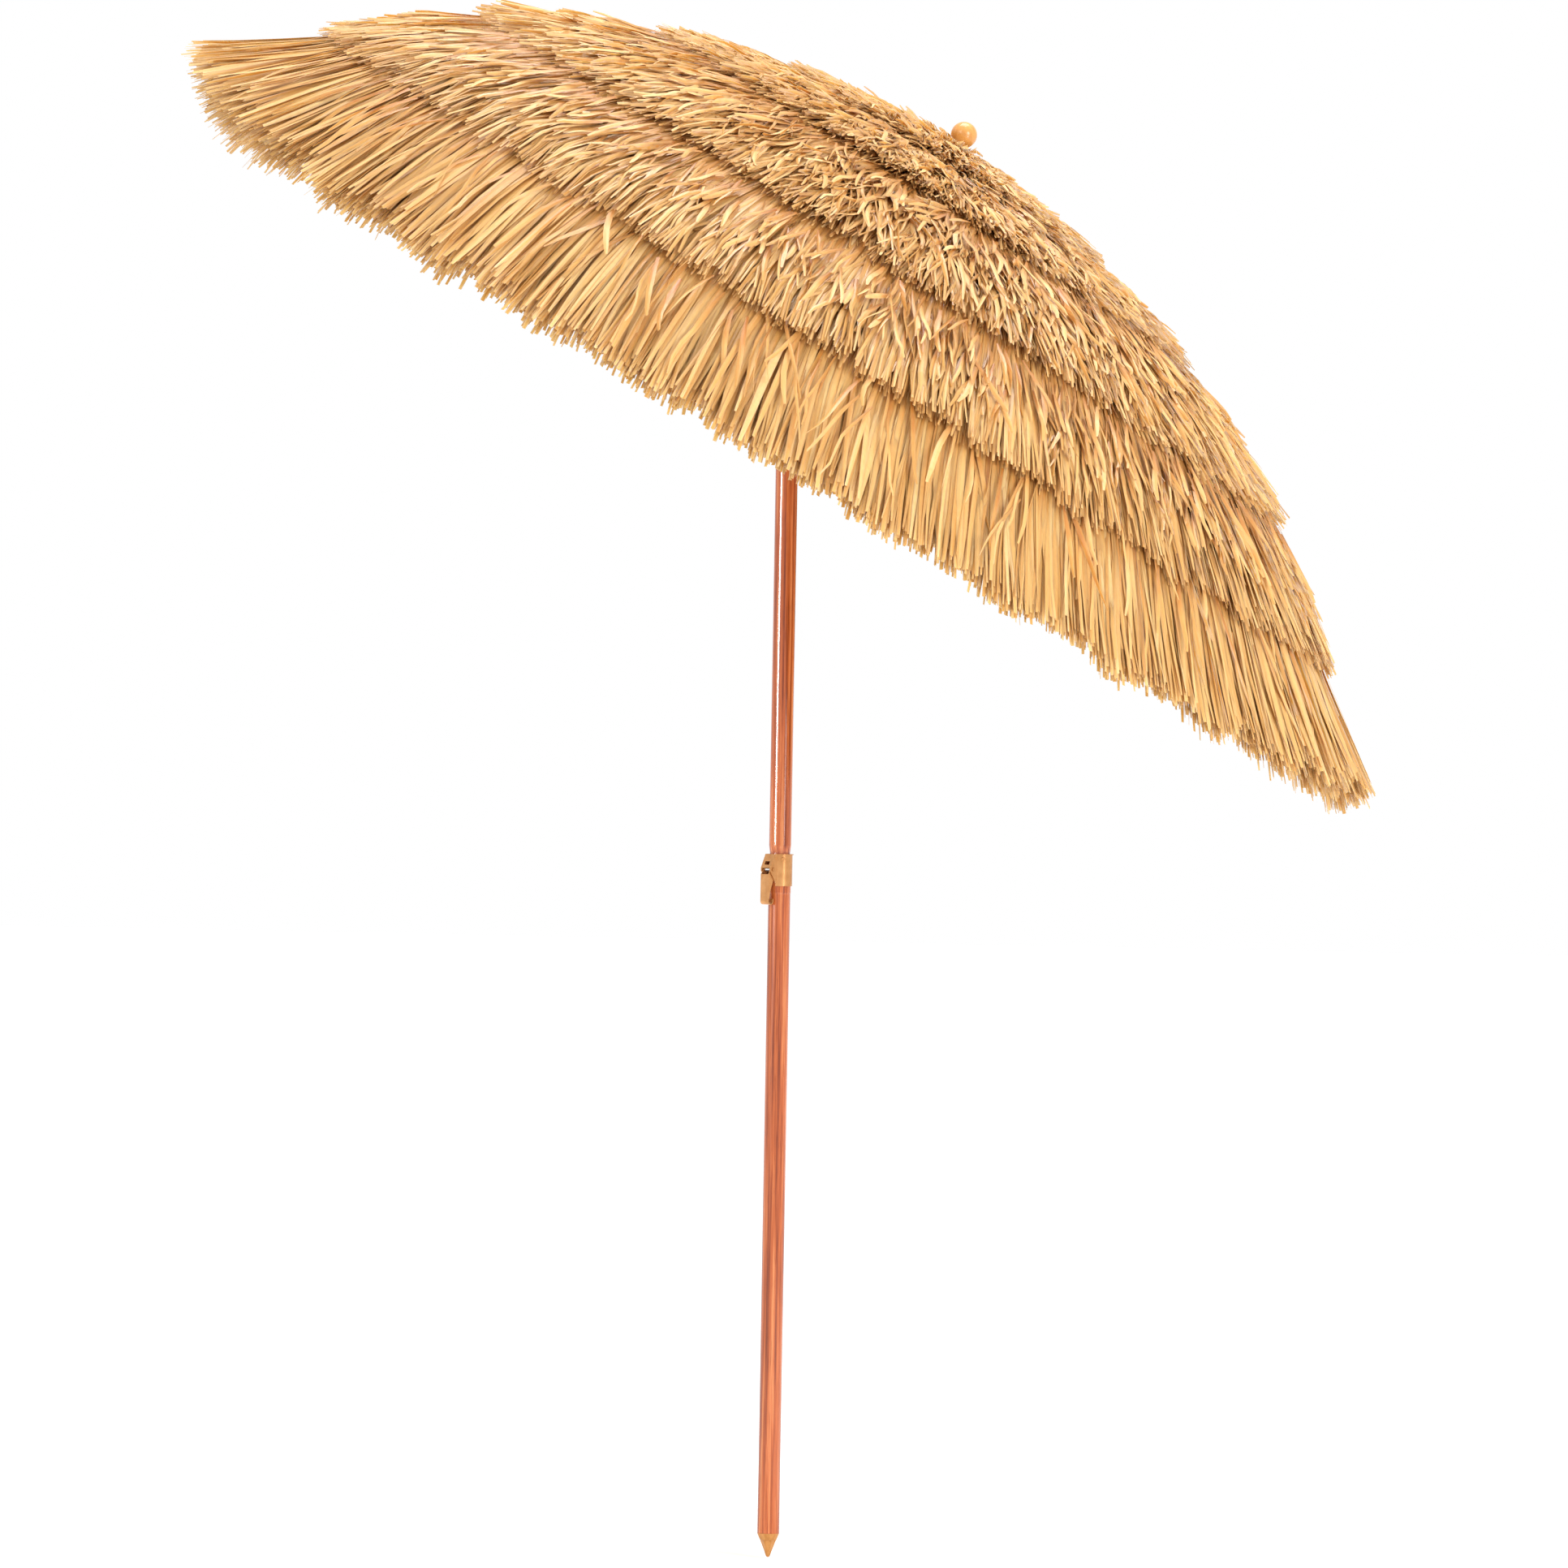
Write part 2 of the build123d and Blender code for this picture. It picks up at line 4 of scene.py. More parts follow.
import bpy
import numpy as np
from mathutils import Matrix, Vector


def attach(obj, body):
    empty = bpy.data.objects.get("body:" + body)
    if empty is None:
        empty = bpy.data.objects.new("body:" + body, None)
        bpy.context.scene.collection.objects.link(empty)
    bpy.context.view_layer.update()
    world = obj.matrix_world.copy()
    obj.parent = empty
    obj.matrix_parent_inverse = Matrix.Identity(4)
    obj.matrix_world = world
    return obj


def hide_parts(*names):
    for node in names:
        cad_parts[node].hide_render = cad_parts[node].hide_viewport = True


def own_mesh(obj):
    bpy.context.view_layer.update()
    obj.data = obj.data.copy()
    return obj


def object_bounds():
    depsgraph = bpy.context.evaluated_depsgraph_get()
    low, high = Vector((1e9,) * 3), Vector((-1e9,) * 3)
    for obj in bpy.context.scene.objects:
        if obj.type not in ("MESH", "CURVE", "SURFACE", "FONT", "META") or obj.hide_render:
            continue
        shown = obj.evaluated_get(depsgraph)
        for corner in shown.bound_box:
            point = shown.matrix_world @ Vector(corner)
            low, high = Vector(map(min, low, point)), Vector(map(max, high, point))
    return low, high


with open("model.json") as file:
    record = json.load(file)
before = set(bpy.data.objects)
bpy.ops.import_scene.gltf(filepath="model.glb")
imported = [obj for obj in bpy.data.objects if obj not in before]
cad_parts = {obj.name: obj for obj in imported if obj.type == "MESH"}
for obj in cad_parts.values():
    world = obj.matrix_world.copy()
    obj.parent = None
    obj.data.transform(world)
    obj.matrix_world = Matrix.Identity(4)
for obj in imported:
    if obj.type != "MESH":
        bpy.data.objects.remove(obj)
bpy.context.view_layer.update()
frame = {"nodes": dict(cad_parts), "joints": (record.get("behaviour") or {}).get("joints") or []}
nodes = frame["nodes"]

# --- Camera ---
# A long lens stands twelve metres off at the height of the clamp, a little to the side toward which
# the canopy leans. It is rolled slightly, as a hand-set tripod is.
camera_distance = 12.56
aim_point = np.array([0.004, 0.0, 1.081])
camera = bpy.data.objects.new("camera", bpy.data.cameras.new("camera"))
bpy.context.scene.collection.objects.link(camera)
camera.data.lens = 200
camera.data.clip_end = 60
azimuth, elevation, roll = math.radians(4.2), math.radians(0.66), math.radians(1.0)
back = np.array(
    [math.sin(azimuth) * math.cos(elevation), -math.cos(azimuth) * math.cos(elevation), math.sin(elevation)]
)
camera.location = aim_point + camera_distance * back
camera.rotation_euler = (math.pi / 2 - elevation, 0, azimuth)
camera.rotation_euler.rotate_axis("Z", roll)
bpy.context.scene.camera = camera
bpy.context.scene.view_settings.view_transform = "Standard"


# --- Poles ---
# Two steel tubes wrapped in a glossy printed film of reddish wood grain, the upper one necked down
# where it plugs into the lower. The film's grain runs along the tube.
def new_material(name):
    """A material with its Principled shader and the calls that add and join nodes."""
    material = bpy.data.materials.new(name)
    material.use_nodes = True
    tree = material.node_tree
    shader = tree.nodes["Principled BSDF"]

    def add(kind, **inputs):
        node = tree.nodes.new(kind)
        for key, value in inputs.items():
            if key.startswith("in_"):
                node.inputs[int(key[3:])].default_value = value
            else:
                setattr(node, key, value)
        return node

    def join(source, target):
        tree.links.new(source, target)

    return material, shader, add, join


def ramp(add, *stops):
    """A colour ramp through stops of (position, colour)."""
    node = add("ShaderNodeValToRGB")
    while len(node.color_ramp.elements) < len(stops):
        node.color_ramp.elements.new(0.5)
    for element, (position, colour) in zip(node.color_ramp.elements, stops):
        element.position = position
        element.color = (*colour, 1)
    return node


def along(add, join, scale, turn=0.0):
    """Object coordinates turned about Y by an angle, then stretched by a scale along each axis."""
    place = add("ShaderNodeTexCoord")
    turned = add("ShaderNodeMapping")
    turned.inputs["Rotation"].default_value = (0, turn, 0)
    stretched = add("ShaderNodeMapping")
    stretched.inputs["Scale"].default_value = scale
    join(place.outputs["Object"], turned.inputs["Vector"])
    join(turned.outputs["Vector"], stretched.inputs["Vector"])
    return stretched.outputs["Vector"]


def wood_film(name, turn=0.0):
    """Printed grain: fine streaks from noise stretched 70 times along the tube, times pores stretched 40
    times, times slow shifts of tone, under a clear coat."""
    material, shader, add, join = new_material(name)
    streaks = add("ShaderNodeTexNoise", in_2=1.0, in_3=6.0, in_4=0.62)
    join(along(add, join, (230, 230, 3.2), turn), streaks.inputs["Vector"])
    pores = add("ShaderNodeTexNoise", in_2=1.0, in_3=3.0, in_4=0.5)
    join(along(add, join, (900, 900, 22), turn), pores.inputs["Vector"])
    shifts = add("ShaderNodeTexNoise", in_2=1.0, in_3=3.0, in_4=0.5)
    join(along(add, join, (26, 26, 2.0), turn), shifts.inputs["Vector"])
    grain = ramp(
        add,
        (0.36, (0.26, 0.05, 0.013)),
        (0.46, (0.48, 0.105, 0.026)),
        (0.54, (0.62, 0.155, 0.042)),
        (0.65, (0.82, 0.30, 0.11)),
    )
    join(streaks.outputs["Fac"], grain.inputs["Fac"])
    tone = ramp(add, (0.35, (0.82, 0.78, 0.74)), (0.65, (1.0, 1.0, 1.0)))
    join(shifts.outputs["Fac"], tone.inputs["Fac"])
    toned = add("ShaderNodeMix", data_type="RGBA", blend_type="MULTIPLY")
    toned.inputs[0].default_value = 1.0
    join(grain.outputs["Color"], toned.inputs[6])
    join(tone.outputs["Color"], toned.inputs[7])
    pitted = add("ShaderNodeMix", data_type="RGBA", blend_type="MULTIPLY")
    pitted.inputs[0].default_value = 0.7
    dark = ramp(add, (0.33, (0.55, 0.42, 0.36)), (0.42, (1, 1, 1)))
    join(pores.outputs["Fac"], dark.inputs["Fac"])
    join(toned.outputs[2], pitted.inputs[6])
    join(dark.outputs["Color"], pitted.inputs[7])
    join(pitted.outputs[2], shader.inputs["Base Color"])
    rough = add("ShaderNodeMapRange", in_3=0.16, in_4=0.3)
    join(streaks.outputs["Fac"], rough.inputs["Value"])
    join(rough.outputs["Result"], shader.inputs["Roughness"])
    bump = add("ShaderNodeBump", in_0=0.12, in_1=0.0004)
    join(pores.outputs["Fac"], bump.inputs["Height"])
    join(bump.outputs["Normal"], shader.inputs["Normal"])
    shader.inputs["Specular IOR Level"].default_value = 0.2
    shader.inputs["Coat Weight"].default_value = 0.6
    shader.inputs["Coat Roughness"].default_value = 0.03
    return material


def dress(material, *names):
    """Gives CAD nodes a material."""
    for name in names:
        nodes[name].data.materials.clear()
        nodes[name].data.materials.append(material)


tilt = next(j for j in frame["joints"] if j["name"] == "canopy_tilt")
lean = math.radians(-tilt["range_deg"][0])
pivot = np.array(tilt["pos_m"])
dress(wood_film("wood_film"), "lower_pole", "upper_pole")
dress(wood_film("wood_film_mast", -lean), "mast_tube")


# --- Ground spike and finial ball ---
# Both are injection moulded in amber plastic: the spike is pushed into the tube's end, and the ball is
# screwed on top of the crown hub.
def moulded(name, dark, light, roughness, speckle=160.0):
    """Moulded plastic: a faint flow pattern in the colour and a fine orange-peel bump."""
    material, shader, add, join = new_material(name)
    flow = add("ShaderNodeTexNoise", in_2=speckle, in_3=4.0, in_4=0.55)
    join(along(add, join, (1, 1, 0.5)), flow.inputs["Vector"])
    colour = ramp(add, (0.35, dark), (0.65, light))
    join(flow.outputs["Fac"], colour.inputs["Fac"])
    join(colour.outputs["Color"], shader.inputs["Base Color"])
    peel = add("ShaderNodeTexNoise", in_2=speckle * 9, in_3=2.0)
    join(along(add, join, (1, 1, 1)), peel.inputs["Vector"])
    bump = add("ShaderNodeBump", in_0=0.1, in_1=0.0003)
    join(peel.outputs["Fac"], bump.inputs["Height"])
    join(bump.outputs["Normal"], shader.inputs["Normal"])
    rough = add("ShaderNodeMapRange", in_3=roughness * 0.8, in_4=roughness * 1.3)
    join(flow.outputs["Fac"], rough.inputs["Value"])
    join(rough.outputs["Result"], shader.inputs["Roughness"])
    return material


dress(moulded("spike_amber", (0.5, 0.2, 0.035), (0.64, 0.29, 0.07), 0.42), "ground_spike")
dress(moulded("ball_amber", (0.6, 0.27, 0.06), (0.72, 0.36, 0.1), 0.18), "finial")


# --- Locking clamp ---
# A bracket and a lever stamped from steel sheet and sprayed in tan metallic paint, held by rivets and a
# pin. The lever's spring and the other steel parts are left bare, and come in the next section.
def sprayed(name, dark, light, roughness, metallic=0.0):
    """Sprayed paint: one cloudy noise sets both tone and gloss, and a fine grit noise the bump."""
    material, shader, add, join = new_material(name)
    cloud = add("ShaderNodeTexNoise", in_2=70.0, in_3=5.0, in_4=0.6)
    join(along(add, join, (1, 1, 1)), cloud.inputs["Vector"])
    colour = ramp(add, (0.3, dark), (0.7, light))
    join(cloud.outputs["Fac"], colour.inputs["Fac"])
    join(colour.outputs["Color"], shader.inputs["Base Color"])
    grit = add("ShaderNodeTexNoise", in_2=1400.0, in_3=3.0)
    join(along(add, join, (1, 1, 1)), grit.inputs["Vector"])
    bump = add("ShaderNodeBump", in_0=0.18, in_1=0.0003)
    join(grit.outputs["Fac"], bump.inputs["Height"])
    join(bump.outputs["Normal"], shader.inputs["Normal"])
    rough = add("ShaderNodeMapRange", in_3=roughness * 0.75, in_4=roughness * 1.3)
    join(cloud.outputs["Fac"], rough.inputs["Value"])
    join(rough.outputs["Result"], shader.inputs["Roughness"])
    shader.inputs["Metallic"].default_value = metallic
    return material


clamp_paint = sprayed("clamp_paint", (0.50, 0.22, 0.065), (0.66, 0.33, 0.12), 0.24, 0.5)
dress(clamp_paint, "clamp_bracket", "clamp_rivets", "clamp_pin", "clamp_lever")


# --- Springs, pins and wire ---
# Plain zinc-plated steel: the torsion spring on the lever's pin, the button's spring, the tilt pin, the
# crown's hinge ring and the runner catch.
def plated_steel(name):
    """Zinc plate: a grey metal with cloudy spangle in its tone and roughness."""
    material, shader, add, join = new_material(name)
    spangle = add("ShaderNodeTexVoronoi", in_2=420.0)
    join(along(add, join, (1, 1, 1)), spangle.inputs["Vector"])
    cloud = add("ShaderNodeTexNoise", in_2=240.0, in_3=4.0)
    join(along(add, join, (1, 1, 1)), cloud.inputs["Vector"])
    colour = ramp(add, (0.3, (0.42, 0.42, 0.43)), (0.7, (0.66, 0.66, 0.65)))
    join(cloud.outputs["Fac"], colour.inputs["Fac"])
    join(colour.outputs["Color"], shader.inputs["Base Color"])
    rough = add("ShaderNodeMapRange", in_3=0.24, in_4=0.42)
    join(spangle.outputs["Distance"], rough.inputs["Value"])
    join(rough.outputs["Result"], shader.inputs["Roughness"])
    shader.inputs["Metallic"].default_value = 1.0
    return material


bare_steel = ("clamp_spring", "tilt_pin", "tilt_button_spring", "crown_ring_wire", "runner_catch")
dress(plated_steel("zinc"), *bare_steel)


# --- Tilt knuckle, hub and runner ---
# The fork and tongue are moulded in tan nylon, the push button in dark brown, and the crown hub, the
# runner and the rib ends in ivory nylon.
dress(moulded("knuckle_tan", (0.5, 0.29, 0.12), (0.62, 0.38, 0.18), 0.4), "tilt_fork", "tilt_tongue")
dress(moulded("button_brown", (0.07, 0.045, 0.03), (0.13, 0.085, 0.06), 0.45), "tilt_button")
ivory = moulded("ivory_nylon", (0.66, 0.6, 0.48), (0.78, 0.72, 0.6), 0.38)
rib_numbers = range(1, 9)
dress(ivory, "crown_hub", "runner", *[f"rib_tip_{n}" for n in rib_numbers])

# --- Ribs and struts ---
# Eight flat steel ribs bow out from the crown, each propped by a flat steel strut from the runner. All
# are sprayed cream.
cream = sprayed("frame_cream", (0.6, 0.55, 0.45), (0.74, 0.7, 0.6), 0.3)
dress(cream, *[f"{kind}_{n}" for kind in ("rib", "strut") for n in rib_numbers])


# --- Canopy lining ---
# Eight gores of tan polyester, sewn edge to edge and stretched over the ribs. Each is one thin panel from
# the crown to just short of the rib ends, and dips a little between its ribs.
# The rib's arc, seen from the side of an upright mast: its hinge's radius and height over the tilt pivot,
# its end's radius and height, and its rise over its chord.
ring_r, crown_z = 0.021, 0.428
reach, end_z = 0.790, 0.128
rise = 0.074
chord = math.hypot(reach - ring_r, end_z - crown_z)
arc_r = (chord**2 / 4 + rise**2) / (2 * rise)
arc_x = (ring_r + reach) / 2 + (end_z - crown_z) / chord * (arc_r - rise)
arc_z = (crown_z + end_z) / 2 - (reach - ring_r) / chord * (arc_r - rise)
arc_start = math.atan2(crown_z - arc_z, ring_r - arc_x)
arc_end = math.atan2(end_z - arc_z, reach - arc_x)
rib_length = arc_r * (arc_start - arc_end)


def length_at(radius):
    """Length along the rib's arc, and on along its tangent past the rib's end, at which it reaches a
    radius: arc angle = acos((radius - centre) / arc radius)."""
    radius = np.asarray(radius, float)
    bent = (arc_start - np.arccos(np.clip((radius - arc_x) / arc_r, -1, 1))) * arc_r
    straight = rib_length + (radius - reach) / math.sin(arc_end)
    return np.where(radius <= reach, bent, straight)


def over_rib(azimuth, length, height):
    """Points above the ribs' bowl: the arc point at that length, moved out along the arc's normal by
    height, and turned round the mast by azimuth. Past the rib's end the bowl goes straight on along its
    tangent."""
    azimuth, length, height = np.broadcast_arrays(azimuth, length, height)
    angle = arc_start - np.minimum(length, rib_length) / arc_r
    past = np.maximum(length - rib_length, 0)
    radius = arc_x + (arc_r + height) * np.cos(angle) + past * math.sin(arc_end)
    up = arc_z + (arc_r + height) * np.sin(angle) - past * math.cos(arc_end)
    return np.stack([radius * np.cos(azimuth), radius * np.sin(azimuth), up], -1)


def leaned(points):
    """Points of the upright mast, turned about Y by the lean and lifted to the tilt pivot."""
    x, y, z = points[..., 0], points[..., 1], points[..., 2]
    c, s = math.cos(lean), math.sin(lean)
    return np.stack([x * c + z * s, y, z * c - x * s], -1) + pivot


def mesh_piece(name, points, quads, triangles=None, quad_uv=None, triangle_uv=None, smooth=True):
    """A mesh object from arrays of points, quads and triangles, with an optional UV for each corner."""
    mesh = bpy.data.meshes.new(name)
    triangles = np.zeros((0, 3), int) if triangles is None else triangles
    corners = np.concatenate([quads.ravel(), triangles.ravel()]).astype(np.int32)
    counts = np.concatenate([np.full(len(quads), 4), np.full(len(triangles), 3)]).astype(np.int32)
    mesh.vertices.add(len(points))
    mesh.vertices.foreach_set("co", points.astype(np.float32).ravel())
    mesh.loops.add(len(corners))
    mesh.loops.foreach_set("vertex_index", corners)
    mesh.polygons.add(len(counts))
    mesh.polygons.foreach_set("loop_start", (np.cumsum(counts) - counts).astype(np.int32))
    mesh.polygons.foreach_set("use_smooth", np.full(len(counts), smooth))
    if quad_uv is not None:
        uv = np.concatenate([quad_uv.reshape(-1, 2), triangle_uv.reshape(-1, 2)])
        mesh.uv_layers.new(name="UVMap").data.foreach_set("uv", uv.astype(np.float32).ravel())
    mesh.update()
    mesh.validate()
    piece = bpy.data.objects.new(name, mesh)
    bpy.context.scene.collection.objects.link(piece)
    return piece


def closed_shell(name, top, bottom):
    """A closed thin shell from two grids of points, rows by columns: the top face up, the bottom face down,
    and a strip that joins their rims. UV is the grid's two parameters, from 0 to 1."""
    rows, columns = top.shape[:2]
    index = np.arange(rows * columns).reshape(rows, columns)
    a, b, c, d = index[:-1, :-1], index[1:, :-1], index[1:, 1:], index[:-1, 1:]
    upper = np.stack([a, b, c, d], -1).reshape(-1, 4)
    lower = upper[:, ::-1] + rows * columns
    rim = np.concatenate([index[0, :-1], index[:-1, -1], index[-1, :0:-1], index[:0:-1, 0]])
    after = np.roll(rim, -1)
    sides = np.stack([rim, after, after + rows * columns, rim + rows * columns], -1)
    quads = np.concatenate([upper, lower, sides])
    u, v = np.meshgrid(np.linspace(0, 1, rows), np.linspace(0, 1, columns), indexing="ij")
    uv = np.tile(np.stack([u, v], -1).reshape(-1, 2), (2, 1))
    points = np.concatenate([top.reshape(-1, 3), bottom.reshape(-1, 3)])
    return mesh_piece(name, points, quads, None, uv[quads], np.zeros((0, 3, 2)))


def woven(name, dark, light):
    """Plain-weave polyester: warp and weft as two crossed wave patterns on the panel's own UV, under a
    cloudy tone."""
    material, shader, add, join = new_material(name)
    uv = add("ShaderNodeUVMap")
    threads = []
    for direction in ("X", "Y"):
        wave = add("ShaderNodeTexWave", wave_type="BANDS", bands_direction=direction)
        stretched = add("ShaderNodeMapping")
        stretched.inputs["Scale"].default_value = (330, 420, 1)
        join(uv.outputs["UV"], stretched.inputs["Vector"])
        join(stretched.outputs["Vector"], wave.inputs["Vector"])
        wave.inputs["Scale"].default_value = 1.0
        wave.inputs["Distortion"].default_value = 0.6
        threads.append(wave.outputs["Fac"])
    weave = add("ShaderNodeMath", operation="MAXIMUM")
    join(threads[0], weave.inputs[0])
    join(threads[1], weave.inputs[1])
    cloud = add("ShaderNodeTexNoise", in_2=9.0, in_3=5.0, in_4=0.6)
    join(along(add, join, (1, 1, 1)), cloud.inputs["Vector"])
    blend = add("ShaderNodeMath", operation="MULTIPLY_ADD")
    join(weave.outputs[0], blend.inputs[0])
    blend.inputs[1].default_value = 0.35
    join(cloud.outputs["Fac"], blend.inputs[2])
    colour = ramp(add, (0.35, dark), (0.95, light))
    join(blend.outputs[0], colour.inputs["Fac"])
    join(colour.outputs["Color"], shader.inputs["Base Color"])
    bump = add("ShaderNodeBump", in_0=0.35, in_1=0.0004)
    join(weave.outputs[0], bump.inputs["Height"])
    join(bump.outputs["Normal"], shader.inputs["Normal"])
    shader.inputs["Roughness"].default_value = 0.82
    shader.inputs["Sheen Weight"].default_value = 0.25
    return material


lining_cloth = woven("lining_polyester", (0.50, 0.35, 0.19), (0.62, 0.455, 0.265))
sector = math.radians(45)
half = sector / 2
lining_low, lining_high = 0.0036, 0.0044
inner_length, outer_length = length_at(0.034), rib_length - 0.019


def gore_dip(offset, length):
    """How far the cloth dips between two ribs: 12 mm at the rim, times length / rib length, times
    sin squared of the angle's share of half a gore."""
    return 0.012 * (length / rib_length) * np.sin(math.pi / 2 * np.abs(offset) / half) ** 2


def rib_azimuth(n):
    """Azimuth of rib n round the mast: ribs stand half a gore either side of the plane of the lean."""
    return (n - 0.5) * sector


linings = {}
for n in rib_numbers:
    across, down = np.meshgrid(
        np.linspace(half, -half, 25), np.linspace(inner_length, outer_length, 49), indexing="ij"
    )
    dip = gore_dip(across, down)
    top = leaned(over_rib(rib_azimuth(n) + across, down, lining_high - dip))
    bottom = leaned(over_rib(rib_azimuth(n) + across, down, lining_low - dip))
    panel = closed_shell(f"lining_panel_{n}", top, bottom)
    panel.data.materials.append(lining_cloth)
    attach(panel, f"rib_{n}")
    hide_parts(f"canopy_lining_{n}")
    linings[n] = panel

# --- Thatch ---
# Flat ribbons of straw-coloured plastic raffia are sewn to the lining in five rings, each skirt hanging
# over the seam of the next. The upper skirts are crimped and tangled, the bottom one is long and smooth.
def raffia(name, stops):
    """Raffia ribbon: the UV's first value picks a ribbon's tone, to which 0.45 of a cloudy noise is added,
    and the second value, from root to tip, darkens its root: painted shade, where the skirt above covers
    it."""
    material, shader, add, join = new_material(name)
    uv = add("ShaderNodeUVMap")
    split = add("ShaderNodeSeparateXYZ")
    join(uv.outputs["UV"], split.inputs[0])
    tone = add("ShaderNodeTexWhiteNoise", noise_dimensions="1D")
    scaled = add("ShaderNodeMath", operation="MULTIPLY")
    scaled.inputs[1].default_value = 977.0
    join(split.outputs[0], scaled.inputs[0])
    whole = add("ShaderNodeMath", operation="FLOOR")
    join(scaled.outputs[0], whole.inputs[0])
    join(whole.outputs[0], tone.inputs["W"])
    streak = add("ShaderNodeTexNoise", in_2=1.0, in_3=3.0, in_4=0.6)
    join(along(add, join, (130, 130, 40)), streak.inputs["Vector"])
    mixed = add("ShaderNodeMath", operation="MULTIPLY_ADD")
    join(streak.outputs["Fac"], mixed.inputs[0])
    mixed.inputs[1].default_value = 0.45
    join(tone.outputs["Value"], mixed.inputs[2])
    colour = ramp(add, *stops)
    colour_in = add("ShaderNodeMath", operation="MULTIPLY")
    colour_in.inputs[1].default_value = 0.7
    join(mixed.outputs[0], colour_in.inputs[0])
    join(colour_in.outputs[0], colour.inputs["Fac"])
    # Painted shade: each ribbon darkens toward its root, the part that lies under the skirt above.
    root = ramp(add, (0.0, (0.58, 0.4, 0.24)), (0.4, (0.86, 0.73, 0.58)), (0.55, (1.0, 1.0, 1.0)))
    join(split.outputs[1], root.inputs["Fac"])
    shaded = add("ShaderNodeMix", data_type="RGBA", blend_type="MULTIPLY")
    shaded.inputs[0].default_value = 1.0
    join(colour.outputs["Color"], shaded.inputs[6])
    join(root.outputs["Color"], shaded.inputs[7])
    join(shaded.outputs[2], shader.inputs["Base Color"])
    rough = add("ShaderNodeMapRange", in_3=0.26, in_4=0.55)
    join(tone.outputs["Value"], rough.inputs["Value"])
    join(rough.outputs["Result"], shader.inputs["Roughness"])
    shader.inputs["Specular IOR Level"].default_value = 0.4
    shader.inputs["Subsurface Weight"].default_value = 0.35
    shader.inputs["Subsurface Radius"].default_value = (1.0, 0.7, 0.4)
    shader.inputs["Subsurface Scale"].default_value = 0.004
    return material


straw = raffia(
    "straw_raffia",
    [
        (0.08, (0.53, 0.24, 0.06)),
        (0.35, (0.65, 0.335, 0.10)),
        (0.7, (0.73, 0.41, 0.138)),
        (0.95, (0.82, 0.53, 0.225)),
    ],
)


